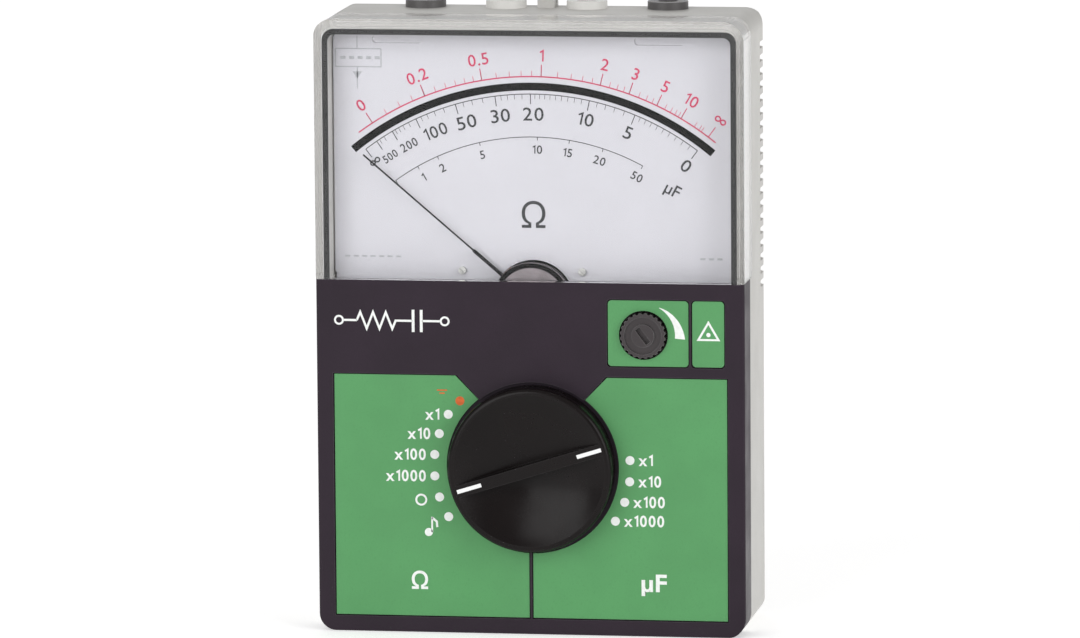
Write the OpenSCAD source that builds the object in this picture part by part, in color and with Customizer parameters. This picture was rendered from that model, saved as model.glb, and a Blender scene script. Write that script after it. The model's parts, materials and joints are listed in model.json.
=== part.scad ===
// Analog resistance and capacitance meter with a moving-coil movement.
// The meter stands upright on its flat bottom end. +Z is up, towards the four sockets,
// the dial faces -Y and +X is on the reader's right. Depths are counted backwards from
// the outer face of the dark front frame.

/* [Case] */
// Width of the case
case_w = 100; // [98:1:104]
// Height of the case without the socket collars
case_h = 143; // [142:0.5:146]
// Depth from the frame's outer face to the back
case_depth = 36.8; // [36.5:0.1:40]
// Corner radius of the case seen from the front
corner_r = 4.5; // [4:0.1:6]
// Wall thickness of the grey shells
wall = 2.4; // [2.2:0.1:2.4]
// Thickness of the back wall
back_wall = 2.8; // [2.6:0.1:2.8]

/* [Front frame and window] */
// Height of the frame's upper edge above the bottom
frame_top = 82.5; // [82:0.5:83]
// Thickness of the frame's plate
frame_t = 2.4; // [2.2:0.1:2.4]
// Depth of the frame's side walls
frame_skirt = 10; // [9:0.5:10.5]
// How far the clear cover stands in front of the frame
cover_proud = 1.2; // [0.8:0.1:1.4]
// Thickness of the clear cover
cover_t = 2; // [1.6:0.1:2]
// Depth of the clear cover's side walls
cover_skirt = 13; // [12:0.5:13]

/* [Selector] */
// Sideways place of the selector's axis
selector_x = 0.5; // [0:0.1:1]
// Height of the selector's axis
selector_z = 39.2; // [39:0.1:39.6]
// Radius of the selector knob
knob_r = 19.2; // [18.6:0.1:19.3]
// How far the knob stands out of the frame
knob_proud = 5.5; // [5:0.1:6.5]
// Angle of the grip bar at the off position, counter-clockwise from +X
knob_angle = 17.2; // [0:0.1:30]
// Angle between two positions of the switch
step_angle = 12.5; // [12:0.5:13]

/* [Adjuster] */
// Sideways place of the adjuster's axis
adjuster_x = 26.5; // [26:0.1:27]
// Height of the adjuster's axis
adjuster_z = 70.4; // [70:0.1:70.8]
// Radius of the knurled adjuster knob
adjuster_r = 5.3; // [5:0.1:5.6]

/* [Movement] */
// Height of the pointer's pivot
pivot_z = 77.3; // [77:0.1:77.6]
// Direction of the pointer at rest, counter-clockwise from +X
pointer_angle = 139.5; // [138:0.5:141]
// Length of the pointer from the pivot
pointer_l = 51.8; // [48:0.1:52]

/* [Sockets] */
// Distance between neighbouring sockets
socket_pitch = 19; // [18:0.5:20]
// Inner radius of a socket tube
socket_r = 2; // [1.9:0.05:2.1]

/* [Hidden] */
$fn = 64;
eps = 0.02;                        // overlap that joins two shapes of one solid
fit_gap = 0.02;                    // between two pieces that are pressed together
face_gap = 0.1;                    // between two pieces that only stand side by side
run_gap = 0.06;                    // running clearance of a pin in its hole

half_w = case_w / 2;
face_y = (knob_proud - case_depth) / 2;   // outer face of the front frame
back_y = face_y + case_depth;
back_in = case_depth - back_wall;         // depth of the back wall's inner face
shell_seam = 16;                          // depth of the seam between the two grey shells
lip_out = 2;                              // inset of the shell's lip behind the skirts
lip_in = 3.4;
skirt_t = 1.8;                            // thickness of the skirts of frame and cover
window_side = 3.1;                        // inset of the opening round the dial
window_top = 139.3;
seal_top = 140.5;
seal_far = 1.7;
edge_r = 3;                               // rounding of the case's rear edges

// Depths of the layers inside, counted from the frame's face
bridge_near = 3.3;                 // front bridge, which covers the hub
bridge_far = 4.3;
pointer_d = 5.1;
dial_near = 7;
dial_far = 7.8;
carrier_near = 8;
carrier_far = 10;
yoke_near = 11;
yoke_far = 21;
rear_bridge_near = 24;
rear_bridge_far = 25.5;
board_near = 13;
board_far = 14.6;
socket_d = 29;

// Case fasteners: four go into the frame's bosses, two into the upper shell's
lower_screws = [[-41, 8], [41, 8], [-41, 56], [41, 56]];
upper_screws = [[-42.5, 134.5], [42.5, 134.5]];
screw_r = 1.25;
screw_head_r = 2.7;
boss_seam = 12;                    // depth at which the rear towers meet the front bosses

board_screw_places = [[-33, 11], [33, 11], [-33, 57], [33, 57]];
carrier_screw_places = [[-42, 88], [42, 88], [-42, 122], [42, 122]];
dial_screw_places = [[-16.6, 84.1], [11.4, 84.1]];
dial_screw_r = 0.6;

// Coloured inlays of the front frame
inlay_t = 0.6;
inlay_sunk = 0.25;                 // how far an inlay lies below the frame's face
inlay_edge = 0.25;                 // shadow gap round an inlay
panel_side = 46.1;
panel_low = 3.7;
panel_high = 60.6;
neck_top = 17.2;                   // half width between the two panels at their upper edge
neck_low = 11.6;
neck_drop = 6;
divider_half = 0.22;
knob_hole_r = knob_r + 0.7;

// Components on the rear of the circuit board
fuse_r = 2.6;
fuse_z = 50;
fuse_d = 18.8;
buzzer_place = [27, 48];
capacitor_places = [[-32, 40], [24, 59]];
chip_xs = [-13, 8];
chip_z = 39.6;
resistor_z = 53;

// Selector
shaft_r = 2.97;
knob_base = 0.7;                   // depth of the knob's lower face, within the frame's recess
knob_recess = 1.1;
knob_mark_in = 11.7;
knob_mark_l = 5.9;
knob_mark_w = 0.9;
knob_mark_t = 0.6;
rotor_r = 13;
detent_r = 1.2;

// Movement
hub_cover_r = 9.2;
hub_hole_r = 9.4;
yoke_r = 13;
yoke_in = 10.3;
core_r = 8.2;
post_x = 11.65;                    // the bridges' posts stand on the yoke ring
post_r = 1.3;
stud_x = -5.6;                     // studs that hold the hairsprings' outer ends
stud_r = 0.35;
pivot_r = 0.45;
jewel_r = 1.2;

// Battery and its door
battery_low = 7.6;
battery_high = 33.6;
tray_half = 25.2;
door_half = 28;
door_low = 3.7;
hinge_z = 35.2;
hinge_d = 35.8;
door_t = 1.6;
hinge_pin_r = 0.65;
door_screw_z = 5.45;
snap_terminals = [14.3, 26.9];      // heights of the battery's two terminals
terminal_d = 25.4;

sockets = [for (i = [0:3]) (i - 1.5) * socket_pitch];
outer_sockets = [sockets[0], sockets[3]];
inner_sockets = [sockets[1], sockets[2]];
socket_y = face_y + socket_d;
collar_h = 1.8;
collar_r = 4.75;
sleeve_r = 4;
sleeve_l = 22;
tube_r = 2.7;
tube_l = 24;
tube_top = case_h + 0.5;

// ---------- helpers ----------

// Extrudes a front view outline, drawn in x and z, between two depths
module layer(near, far) {
    translate([0, face_y + far, 0]) rotate([90, 0, 0]) linear_extrude(far - near) children();
}

// Puts a shape drawn along +Z on a front to back axis, with its base at the given depth
module facing(x, z, depth) {
    translate([x, face_y + depth, z]) rotate([90, 0, 0]) children();
}

// Solid disc or peg on a front to back axis
module disc(x, z, near, far, r) {
    facing(x, z, far) cylinder(r = r, h = far - near);
}

// Rounded rectangle between two corners
module round_box(x0, z0, x1, z1, r) {
    translate([x0 + r, z0]) square([x1 - x0 - 2 * r, z1 - z0]);
    translate([x0, z0 + r]) square([x1 - x0, z1 - z0 - 2 * r]);
    for (x = [x0 + r, x1 - r], z = [z0 + r, z1 - r]) translate([x, z]) circle(r);
}

// The case's outline from the front, moved inwards by inset
module outline(inset) {
    round_box(-half_w + inset, inset, half_w - inset, case_h - inset, corner_r - inset);
}

// Keeps what lies above the given height of a front view outline
module above_edge(edge = frame_top) {
    intersection() {
        children();
        translate([-half_w - 1, edge]) square([case_w + 2, case_h]);
    }
}

// Keeps what lies below the frame's upper edge
module below_edge() {
    intersection() {
        children();
        translate([-half_w - 1, -1]) square([case_w + 2, frame_top + 1]);
    }
}

// The case as a block whose front edges and rear edges are rounded
module rounded_case(near, far, front_r, rear_r) {
    intersection() {
        layer(near, far) outline(0);
        rotate([90, 0, 90]) translate([0, 0, -half_w - 1]) linear_extrude(case_w + 2)
            rounded_ends(near, far, 0, case_h, front_r, rear_r);
        translate([0, 0, -1]) mirror([1, -1, 0]) linear_extrude(case_h + 2)
            rounded_ends(near, far, -half_w, half_w, front_r, rear_r);
    }
}

// Section across the depth: front corners of front_r and rear corners of rear_r
module rounded_ends(near, far, low, high, front_r, rear_r) {
    y0 = face_y + near;
    y1 = face_y + far;
    translate([y0, low + front_r]) square([y1 - y0 - rear_r, high - low - 2 * front_r]);
    translate([y0 + front_r, low]) square([y1 - y0 - front_r - rear_r, high - low]);
    translate([y1 - rear_r - eps, low + rear_r]) square([rear_r + eps, high - low - 2 * rear_r]);
    for (z = [low + front_r, high - front_r]) translate([y0 + front_r, z]) circle(front_r);
    for (z = [low + rear_r, high - rear_r]) translate([y1 - rear_r, z]) circle(rear_r);
}

// Screw on a front to back axis with a slotted head at its rear end
module rear_screw(place, tip, head_near, head_far, r, head_r) {
    difference() {
        union() {
            disc(place[0], place[1], tip, head_near + eps, r);
            disc(place[0], place[1], head_near, head_far, head_r);
        }
        translate([place[0], face_y + head_far, place[1]])
            cube([2 * head_r + 1, 1.2, 0.7], center = true);
    }
}

// ---------- case ----------

module rear_cover() {
    towers = concat(lower_screws, upper_screws);
    color("silver") difference() {
        union() {
            difference() {
                intersection() {
                    rounded_case(0, case_depth, 0.5, edge_r);
                    layer(shell_seam, case_depth + 1) outline(-1);
                }
                layer(shell_seam - 1, back_in) outline(wall);
            }
            for (p = towers) disc(p[0], p[1], boss_seam + face_gap, back_in + eps, 3.4);
            door_screw_boss();
            hanging_lug();
        }
        for (p = towers) {
            disc(p[0], p[1], boss_seam - 1, case_depth + 1, screw_r + 0.25);
            disc(p[0], p[1], back_in + 0.8, case_depth + 1, screw_head_r + 0.3);
        }
        for (x = sockets) translate([x, socket_y, case_h - wall - 1])
            cylinder(r = sleeve_r + 0.1, h = wall + 2);
        grip_grooves();
        door_recess();
    }
}

// Raised lug at the middle of the rear top edge
module hanging_lug() {
    lug_w = 4;
    lug_l = 6;
    lug_h = 3;
    difference() {
        translate([-lug_w / 2, back_y - edge_r - lug_l, case_h - 1]) cube([lug_w, lug_l, lug_h + 1]);
        translate([-lug_w, back_y - edge_r - lug_l / 2, case_h + lug_h / 2]) rotate([0, 90, 0])
            cylinder(r = 0.9, h = 2 * lug_w);
    }
}

// Finger grooves along the rear edges of both sides
module grip_grooves() {
    groove_pitch = 3.1;
    groove_h = 1.6;
    groove_deep = 1;
    groove_l = 8;
    for (k = [0:18], side = [-1, 1])
        translate([side * half_w - groove_deep, back_y - groove_l, 78 + k * groove_pitch])
            cube([2 * groove_deep, groove_l + 1, groove_h]);
}

// Thickening inside the bottom of the back wall for the door's screw
module door_screw_boss() {
    layer(back_in - 1.6, back_in + eps) round_box(-3, wall - 0.2, 3, battery_low - 1.2, 0.3);
}

// Recess, opening and hinge holes of the battery door
module door_recess() {
    gap = 0.35;
    layer(back_in + 0.8, case_depth + 1)
        round_box(-door_half - gap, door_low - gap, door_half + gap, hinge_z + 1.15, 0.6);
    layer(back_in - 1, case_depth)
        round_box(-tray_half, battery_low - 0.2, tray_half, battery_high + 0.2, 0.6);
    disc(0, door_screw_z, back_in - 1.2, case_depth, 1.3);
    for (side = [-1, 1]) translate([side * (door_half + 1.4), face_y + hinge_d, hinge_z]) rotate([0, 90, 0])
        cylinder(r = hinge_pin_r + run_gap, h = 3, center = true);
}

module middle_shell() {
    color("silver") difference() {
        union() {
            // outer wall behind the frame's and the cover's skirts
            layer(frame_skirt + face_gap, shell_seam) below_edge() shell_ring();
            layer(cover_skirt + face_gap, shell_seam) above_edge() shell_ring();
            // lip that carries the skirts, and the tongue that enters the rear cover
            layer(frame_t + face_gap, shell_seam) below_edge() lip_ring();
            layer(seal_far + fit_gap, shell_seam) above_edge() difference() {
                outline(lip_out);
                window_opening();
            }
            layer(dial_far + face_gap, shell_seam) above_edge() lip_ring();
            layer(shell_seam - eps, shell_seam + 1.2) difference() {
                outline(wall + face_gap);
                outline(lip_in);
            }
            for (p = upper_screws) shell_boss(p);
            for (p = carrier_screw_places) carrier_bracket(p);
        }
        for (p = upper_screws) disc(p[0], p[1], dial_far, boss_seam + 1, screw_r + fit_gap);
        for (p = carrier_screw_places) disc(p[0], p[1], carrier_far - 1, carrier_far + 4, 0.92);
    }
}

module shell_ring() {
    difference() { outline(0); outline(wall); }
}

module lip_ring() {
    difference() { outline(lip_out); outline(lip_in); }
}

// Opening of the upper lip, through which the dial is seen
module window_opening() {
    round_box(-half_w + window_side, -1, half_w - window_side, window_top, 1.8);
}

// Boss in an upper corner, joined to the lip by two webs
module shell_boss(p) {
    side = sign(p[0]);
    edge_x = half_w - lip_in + 0.3;
    disc(p[0], p[1], dial_far + fit_gap, boss_seam, 3);
    layer(dial_far + fit_gap, boss_seam) {
        translate([side > 0 ? p[0] : -edge_x, p[1] - 2]) square([edge_x - abs(p[0]), 4]);
        translate([p[0] - 2, p[1]]) square([4, case_h - lip_in + 0.3 - p[1]]);
    }
}

module carrier_bracket(p) {
    edge_x = half_w - lip_in + 0.3;
    inner_x = abs(p[0]) - 3.5;
    layer(carrier_far, carrier_far + 5)
        translate([p[0] > 0 ? inner_x : -edge_x, p[1] - 3]) square([edge_x - inner_x, 6]);
}

module front_frame() {
    color([0.2, 0.17, 0.21]) difference() {
        intersection() {
            rounded_case(0, case_depth, 0.8, edge_r);
            layer(-1, frame_skirt) below_edge() outline(-1);
        }
        layer(frame_t, frame_skirt + 1) outline(skirt_t);
        layer(-1, inlay_sunk + inlay_t) {
            for (side = [-1, 1]) panel_outline(side, 0);
            adjuster_panel_outline(0);
            symbol_panel_outline(0);
        }
        disc(selector_x, selector_z, -1, knob_recess, knob_hole_r);
        disc(selector_x, selector_z, 0, frame_t + 1, shaft_r + run_gap + fit_gap);
        disc(adjuster_x, adjuster_z, -1, frame_t + 1, adjuster_r + 0.4);
    }
    color([0.2, 0.17, 0.21]) frame_bosses();
}

// Bosses on the frame's inner side for the case screws, the board and the detent spring
module frame_bosses() {
    difference() {
        union() {
            for (p = lower_screws) disc(p[0], p[1], frame_t - eps, boss_seam, 3);
            for (p = board_screw_places) disc(p[0], p[1], frame_t - eps, board_near, 2.6);
            for (dx = [-7.5, 7.5]) disc(selector_x + dx, selector_z + 17.3, frame_t - eps, 11, 1.3);
        }
        for (p = lower_screws) disc(p[0], p[1], 4, boss_seam + 1, screw_r + fit_gap);
        for (p = board_screw_places) disc(p[0], p[1], 6, board_near + 1, 1.02);
    }
}

module window_cover() {
    inside = cover_t - cover_proud;
    color([0.85, 0.9, 0.95, 0.35]) {
        difference() {
            intersection() {
                rounded_case(-cover_proud, case_depth, 1.6, edge_r);
                layer(-cover_proud - 1, cover_skirt) above_edge(frame_top + face_gap) outline(-1);
            }
            layer(inside, cover_skirt + 1) outline(skirt_t);
        }
        for (side = [-1, 1]) layer(inside - eps, inside + 2.4)
            round_box(side * 30.5 - 5.8, window_top - 1.9, side * 30.5 + 5.8, window_top - 0.1, 0.8);
    }
}

// Dark dust seal between the clear cover and the shell's lip, open at its lower end
module window_seal() {
    side = skirt_t + 0.1;
    color([0.1, 0.1, 0.1]) layer(cover_t - cover_proud + fit_gap, seal_far)
        above_edge(frame_top + face_gap) difference() {
            round_box(-half_w + side, -1, half_w - side, seal_top, 2.6);
            window_opening();
        }
}

// ---------- inlays ----------

// Outline of a green panel: side -1 is the left one, +1 the right one. The divider between
// them stands below the selector, and the dark neck above it narrows downwards.
module panel_outline(side, inset) {
    shift = side > 0 ? selector_x : 0;
    divider = side * (divider_half + inset);
    outer = side * (panel_side - inset);
    difference() {
        polygon([
            [divider, panel_low + inset], [outer, panel_low + inset], [outer, panel_high - inset],
            [shift + side * (neck_top + inset), panel_high - inset],
            [shift + side * (neck_low + inset), panel_high - neck_drop],
            [divider, panel_high - neck_drop]
        ]);
        translate([selector_x, selector_z]) circle(knob_hole_r + inset);
    }
}

module adjuster_panel_outline(inset) {
    round_box(18 + inset, 62.9 + inset, 37.2 - inset, 78.7 - inset, 0.9);
}

module symbol_panel_outline(inset) {
    round_box(37.6 + inset, 62.9 + inset, 45.5 - inset, 78.7 - inset, 0.9);
}

module inlay() {
    color([0.38, 0.6, 0.41]) layer(inlay_sunk, inlay_sunk + inlay_t) children();
}

module left_panel() {
    inlay() panel_outline(-1, inlay_edge);
}

module right_panel() {
    inlay() panel_outline(1, inlay_edge);
}

module adjuster_panel() {
    inlay() difference() {
        adjuster_panel_outline(inlay_edge);
        translate([adjuster_x, adjuster_z]) circle(adjuster_r + 0.4);
    }
}

module symbol_panel() {
    inlay() symbol_panel_outline(inlay_edge);
}

module case_screws() {
    color("gray") for (p = concat(lower_screws, upper_screws))
        rear_screw(p, 8.2, back_in + 0.9, case_depth - 0.3, screw_r, screw_head_r);
}

// ---------- sockets ----------

module socket_sleeve(x) {
    translate([x, socket_y, 0]) difference() {
        union() {
            translate([0, 0, case_h]) cylinder(r = collar_r, h = collar_h);
            translate([0, 0, case_h - sleeve_l]) cylinder(r = sleeve_r, h = sleeve_l + eps);
        }
        translate([0, 0, case_h - sleeve_l - 1])
            cylinder(r = tube_r + fit_gap, h = tube_top - case_h + sleeve_l + 1);
        translate([0, 0, case_h - 1]) cylinder(r = socket_r + 0.35, h = collar_h + 2);
    }
}

module outer_socket_sleeves() {
    color("dimgray") for (x = outer_sockets) socket_sleeve(x);
}

module inner_socket_sleeves() {
    color("white") for (x = inner_sockets) socket_sleeve(x);
}

module socket_tubes() {
    color("gold") for (x = sockets) translate([x, socket_y, tube_top - tube_l]) {
        difference() {
            translate([0, 0, -1.5]) cylinder(r = tube_r, h = tube_l + 1.5);
            cylinder(r = socket_r, h = tube_l + 1);
        }
        translate([0, 0, -3]) cylinder(r = 1, h = 1.6);
    }
}

module socket_nuts() {
    color("silver") for (x = sockets) translate([x, socket_y, case_h - wall - 1.7]) difference() {
        cylinder(r = 5.6, h = 1.6, $fn = 6);
        translate([0, 0, -1]) cylinder(r = sleeve_r + fit_gap, h = 4);
    }
}

// Insulated wire through a list of points, each [x, depth, z]
module wire(points, r) {
    for (i = [0:len(points) - 2]) {
        a = [points[i][0], face_y + points[i][1], points[i][2]];
        b = [points[i + 1][0], face_y + points[i + 1][1], points[i + 1][2]];
        run = b - a;
        over = i > 0 ? r : 0;
        translate(a) rotate([0, acos(run[2] / norm(run)), atan2(run[1], run[0])])
            translate([0, 0, -over]) cylinder(r = r, h = norm(run) + over);
    }
}

module socket_wires() {
    low = tube_top - tube_l - 3.1;
    color("firebrick") {
        wire([[28.5, socket_d, low], [28.5, socket_d, 82], [28.5, board_far + 0.5, 75]], 0.6);
        wire([[9.5, socket_d, low], [9.5, socket_d, 98], [22, socket_d, 90], [22, socket_d, 78],
              [22, board_far + 0.5, 70]], 0.6);
        wire([[-28.5, socket_d, low], [-28.5, socket_d, 66], [-28.5, board_far + 0.5, 59]], 0.6);
        wire([[-9.5, socket_d, low], [-9.5, socket_d, 98], [-22, socket_d, 90], [-22, socket_d, 66],
              [-22, board_far + 0.5, 59]], 0.6);
    }
}

// ---------- dial and movement ----------

module dial_plate() {
    color([0.85, 0.86, 0.9]) layer(dial_near, dial_far) difference() {
        union() {
            round_box(-46.2, 79.5, 46.2, 90, 1);
            round_box(-46.5, frame_top + 0.4, 46.5, 138.8, 1);
            round_box(-16, 65, 16, 82, 1);
        }
        translate([0, pivot_z]) circle(hub_hole_r);
        round_box(-post_x - 1.8, pivot_z - 2, post_x + 1.8, pivot_z + 2, 1);
        for (p = dial_screw_places) translate(p) circle(dial_screw_r + 0.05);
    }
}

module dial_screws() {
    color("dimgray") for (p = dial_screw_places) difference() {
        union() {
            disc(p[0], p[1], 6.3, dial_near, 0.9);
            disc(p[0], p[1], dial_near - eps, carrier_far - 0.4, dial_screw_r);
        }
        translate([p[0], face_y + 6.3, p[1]]) rotate([0, 40, 0]) cube([3, 0.6, 0.3], center = true);
    }
}

module movement_carrier() {
    color("darkslategray") difference() {
        union() {
            layer(carrier_near, carrier_far) {
                round_box(-45.4, 79.5, 45.4, 130, 2);
                round_box(-38, 120, 38, 137.5, 2);
                round_box(-17, 62.8, 17, 82, 2);
            }
            disc(0, pivot_z, carrier_far - eps, 19, yoke_r + 1.8);
        }
        disc(0, pivot_z, carrier_far, 20, yoke_r + 0.05);
        disc(0, pivot_z, carrier_near - 1, carrier_far + 1, yoke_in);
        for (side = [-1, 1]) disc(side * post_x, pivot_z, carrier_near - 1, carrier_far + 1, 1.5);
        for (p = dial_screw_places)
            disc(p[0], p[1], carrier_near - 1, carrier_far + 1, dial_screw_r + fit_gap);
        for (p = carrier_screw_places) {
            disc(p[0], p[1], carrier_near - 1, carrier_far + 1, 1.1);
            disc(p[0], p[1], carrier_near - 1, carrier_near + 1.2, 2.1);
        }
    }
}

module carrier_screws() {
    color("silver") for (p = carrier_screw_places) {
        disc(p[0], p[1], carrier_near + 0.1, carrier_near + 1.1, 1.9);
        disc(p[0], p[1], carrier_near + 1, carrier_far + 3.6, 0.9);
    }
}

module yoke_ring() {
    color("lightslategray") difference() {
        disc(0, pivot_z, yoke_near, yoke_far, yoke_r);
        disc(0, pivot_z, yoke_near - 1, yoke_far + 1, yoke_in);
    }
}

module core_magnet() {
    color("slategray") disc(0, pivot_z, yoke_near, yoke_far, core_r);
}

// Blocks that hold the core magnet in the ring, outside the coil's travel
module core_supports() {
    color("tan") layer(yoke_near + 2, yoke_far - 2) for (side = [-1, 1]) intersection() {
        translate([side * 9.25 - 2, pivot_z - 2]) square([4, 4]);
        difference() {
            translate([0, pivot_z]) circle(yoke_in - fit_gap);
            translate([0, pivot_z]) circle(core_r + fit_gap);
        }
    }
}

module front_bridge() {
    color([0.55, 0.52, 0.53]) difference() {
        union() {
            disc(0, pivot_z, bridge_near, bridge_far, hub_cover_r);
            layer(bridge_near, bridge_far)
                round_box(-post_x - 1.3, pivot_z - 1.3, post_x + 1.3, pivot_z + 1.3, 1.2);
            for (side = [-1, 1]) disc(side * post_x, pivot_z, bridge_far - eps, yoke_near, post_r);
            disc(stud_x, pivot_z, bridge_far - eps, 7, stud_r);
        }
        disc(0, pivot_z, bridge_near - 1, bridge_far + 1, jewel_r + fit_gap);
    }
}

module rear_bridge() {
    color("silver") difference() {
        union() {
            layer(rear_bridge_near, rear_bridge_far)
                round_box(-post_x - 1.5, pivot_z - 2.2, post_x + 1.5, pivot_z + 2.2, 1.2);
            for (side = [-1, 1]) disc(side * post_x, pivot_z, yoke_far, rear_bridge_near + eps, post_r);
            disc(stud_x, pivot_z, 22.9, rear_bridge_near + eps, stud_r);
        }
        disc(0, pivot_z, rear_bridge_near - 1, rear_bridge_far + 1, jewel_r + fit_gap);
    }
}

module jewel_screws() {
    color("goldenrod") {
        difference() {
            disc(0, pivot_z, 2.8, 4.55, jewel_r);
            disc(0, pivot_z, 4, 5, pivot_r + run_gap);
        }
        difference() {
            disc(0, pivot_z, 23.6, 26.4, jewel_r);
            disc(0, pivot_z, 23, 24.4, pivot_r + run_gap);
        }
    }
}

// Flat spiral of a strip, drawn as an outline
module spiral(r0, r1, turns, strip) {
    steps = 18 * turns;
    function point(i, extra) = let (a = 360 * turns * i / steps, r = r0 + (r1 - r0) * i / steps + extra)
        [-r * cos(a), r * sin(a)];
    polygon(concat([for (i = [0:steps]) point(i, 0)], [for (i = [steps:-1:0]) point(i, strip)]));
}

module hairsprings() {
    color("peru") for (near = [6.5, 22.95])
        layer(near, near + 0.4) translate([0, pivot_z]) spiral(0.95, 5, 4, 0.14);
}

// Frame of the moving coil: x runs along the pointer and y is the depth
module in_movement() {
    translate([0, face_y, pivot_z]) rotate([0, -pointer_angle, 0]) children();
}

module coil_loop(reach, near, far, thick, width) {
    difference() {
        translate([-reach, near, -width / 2]) cube([2 * reach, far - near, width]);
        translate([-reach + thick, near + thick, -width])
            cube([2 * (reach - thick), far - near - 2 * thick, 2 * width]);
    }
}

module coil_former() {
    color("lightgray") in_movement() coil_loop(9.1, 10.2, 21.8, 0.4, 4);
}

module coil_winding() {
    color("chocolate") in_movement() coil_loop(9.7, 9.6, 22.4, 0.58, 3.4);
}

module pivots() {
    color("gray") {
        disc(0, pivot_z, 4.2, 9.58, pivot_r);
        disc(0, pivot_z, 22.42, 24.1, pivot_r);
    }
}

module pointer_hub() {
    color("dimgray") in_movement() difference() {
        union() {
            translate([0, 6.2, 0]) rotate([90, 0, 0]) cylinder(r = 1.5, h = 1.5);
            for (a = [90, 180, 270]) rotate([0, a, 0]) translate([1, pointer_d - 0.2, -0.3])
                cube([a == 180 ? 5.6 : 3.4, 0.4, 0.6]);
        }
        translate([0, 7, 0]) rotate([90, 0, 0]) cylinder(r = pivot_r + fit_gap, h = 3);
        translate([1, pointer_d, 0]) rotate([0, 90, 0]) cylinder(r = 0.42 + fit_gap, h = 2);
    }
}

module pointer() {
    color("black") in_movement() {
        translate([1.05, pointer_d, 0]) rotate([0, 90, 0]) cylinder(r = 0.42, h = 17, $fn = 24);
        translate([18, pointer_d, 0]) rotate([0, 90, 0]) cylinder(r = 0.2, h = pointer_l - 18, $fn = 16);
    }
}

module counterweights() {
    color("gold") in_movement() for (a = [90, 180, 270]) rotate([0, a, 0])
        translate([a == 180 ? 5.2 : 3.4, pointer_d, 0]) rotate([0, 90, 0]) difference() {
            cylinder(r = 0.75, h = 0.9);
            translate([0, 0, -1]) cube([0.65, 0.45, 6], center = true);
        }
}

// ---------- board ----------

module circuit_board() {
    color("darkgreen") layer(board_near, board_far) difference() {
        union() {
            round_box(-36.5, 8, 36.5, 61.5, 2);
            round_box(18.5, 55, 36.5, 78, 2);
        }
        translate([selector_x, selector_z]) circle(shaft_r + 0.1);
        for (p = board_screw_places) translate(p) circle(1.6);
    }
}

module board_screws() {
    color("silver") for (p = board_screw_places) rear_screw(p, 8, board_far, board_far + 1.6, 1, 2.3);
}

module fuse() {
    color("white") translate([-30, face_y + fuse_d, fuse_z]) rotate([0, 90, 0])
        cylinder(r = fuse_r, h = 20);
}

// Two U-shaped clips, open to the rear
module fuse_clips() {
    clip_l = 4;
    slot_r = fuse_r + fit_gap;
    color("silver") for (x = [-28, -16]) translate([x, face_y + fuse_d, fuse_z]) difference() {
        translate([0, board_far - fuse_d, -3.6]) cube([clip_l, 4.6, 7.2]);
        translate([-1, 0, 0]) rotate([0, 90, 0]) cylinder(r = slot_r, h = clip_l + 2);
        translate([-1, 0, -slot_r]) cube([clip_l + 2, 4, 2 * slot_r]);
    }
}

module buzzer() {
    color("black") difference() {
        disc(buzzer_place[0], buzzer_place[1], board_far, board_far + 7, 6);
        disc(buzzer_place[0], buzzer_place[1], board_far + 6, board_far + 8, 1);
    }
}

module integrated_circuits() {
    color([0.12, 0.12, 0.12]) for (x = chip_xs) translate([x, face_y + board_far, chip_z])
        cube([9, 2.2, 5.6]);
}

module resistors() {
    color("tan") for (i = [0:5]) translate([-9 + 4.4 * i, face_y + board_far + 1.2, resistor_z])
        cylinder(r = 1.1, h = 6);
}

module capacitors() {
    color("navy") for (p = capacitor_places) disc(p[0], p[1], board_far, board_far + 7, 2.8);
}

// ---------- selector switch ----------

module selector_knob() {
    rim_r = 1.2;
    bar_half = 1.4;
    dish_r = 17.7;
    dish_deep = 4.2;
    sphere_r = (pow(dish_r, 2) + pow(dish_deep, 2)) / (2 * dish_deep);
    high = knob_proud + knob_base;
    color([0.13, 0.12, 0.12]) facing(selector_x, selector_z, knob_base) rotate(knob_angle) difference() {
        rotate_extrude($fn = 96) {
            square([knob_r, high - rim_r]);
            square([knob_r - rim_r, high]);
            translate([knob_r - rim_r, high - rim_r]) circle(rim_r, $fn = 32);
        }
        for (side = [-1, 1]) intersection() {
            translate([0, 0, high + sphere_r - dish_deep]) sphere(r = sphere_r, $fn = 96);
            translate([-knob_r, side > 0 ? bar_half : -bar_half - knob_r, 0])
                cube([2 * knob_r, knob_r, 2 * high]);
        }
        translate([0, 0, -1]) cylinder(r = shaft_r + fit_gap / 2, h = 2.15);
        for (a = [0, 180]) rotate(a) translate([knob_mark_in, -knob_mark_w / 2, high - knob_mark_t])
            cube([knob_mark_l, knob_mark_w, 1]);
    }
}

// Two white lines let into the ends of the grip bar
module knob_marks() {
    color("white") facing(selector_x, selector_z, knob_mark_t - knob_proud) rotate(knob_angle)
        for (a = [0, 180]) rotate(a) translate([knob_mark_in, -knob_mark_w / 2, 0])
            cube([knob_mark_l, knob_mark_w, knob_mark_t + eps]);
}

module selector_shaft() {
    color("ivory") disc(selector_x, selector_z, -0.4, 15.4, shaft_r);
}

module selector_rotor() {
    color("ivory") difference() {
        disc(selector_x, selector_z, 8.5, 10.5, rotor_r);
        disc(selector_x, selector_z, 8, 11, shaft_r + fit_gap);
        for (k = [-1:5]) facing(selector_x, selector_z, 11) rotate(90 + k * step_angle)
            translate([rotor_r + 0.5, 0, 0]) cylinder(r = 1.1, h = 3);
    }
}

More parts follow.
